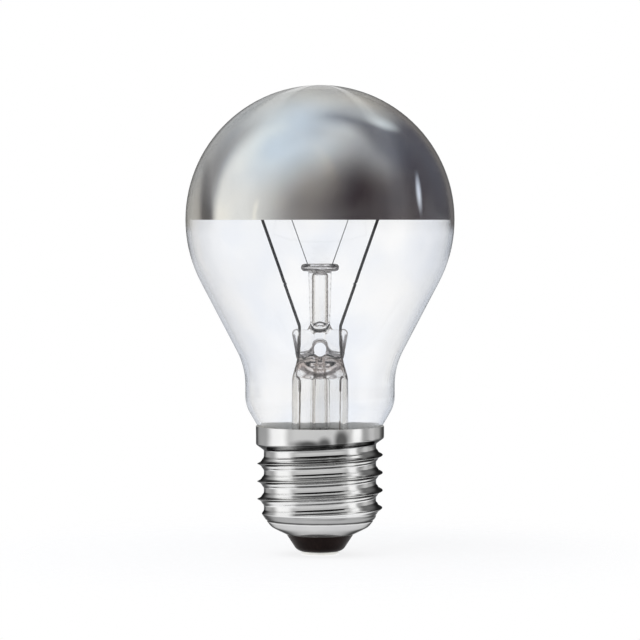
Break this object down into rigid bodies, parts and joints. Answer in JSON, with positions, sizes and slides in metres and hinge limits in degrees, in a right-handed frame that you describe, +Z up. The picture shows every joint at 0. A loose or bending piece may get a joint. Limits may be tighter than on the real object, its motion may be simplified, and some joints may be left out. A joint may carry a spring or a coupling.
{
  "type": "crown silvered lamp bulb",
  "caption": "Clear glass filament lamp bulb with a mirrored dome and a threaded metal screw cap.",
  "frame": {"origin": "tip of the centre contact, on the bulb's axis, at the lowest point of the part", "axes": "+Z up along the bulb's axis from the contact to the mirrored dome, +Y into the picture, with the side solder on the +Y side"},
  "size_m": [0.055, 0.055, 0.0961],
  "materials": {
    "clear_glass": "clear blown glass, smooth",
    "mirror_film": "bright silver deposited on the inside of the glass",
    "stem_glass": "clear fused glass, slightly wavy",
    "lead_wire": "drawn nickel wire",
    "seal_wire": "copper clad wire, oxidised in the glass",
    "support_wire": "fine drawn wire",
    "filament_wire": "fine coiled tungsten, dull grey",
    "outer_wire": "thin tinned copper wire",
    "cap_metal": "bright nickel-like rolled sheet, glossy",
    "cap_glass": "near-black poured glass, glossy",
    "contact_metal": "plain pressed sheet",
    "solder": "dull solder, rounded by melting",
    "cement": "baked basing cement, matt"
  },
  "bodies": {
    "root": {"glass_envelope": "clear_glass", "silver_crown": "mirror_film", "flare_and_press": "stem_glass", "exhaust_tube": "stem_glass", "arbor": "stem_glass", "inner_lead_left": "lead_wire", "inner_lead_right": "lead_wire", "seal_wire_left": "seal_wire", "seal_wire_right": "seal_wire", "support_wire_left": "support_wire", "support_wire_right": "support_wire", "filament": "filament_wire", "fuse_wire": "outer_wire", "contact_lead": "outer_wire", "side_lead": "outer_wire", "cap_shell": "cap_metal", "cap_insulator": "cap_glass", "contact_plate": "contact_metal", "contact_solder": "solder", "side_solder": "solder", "basing_cement": "cement"}
  },
  "joints": []
}
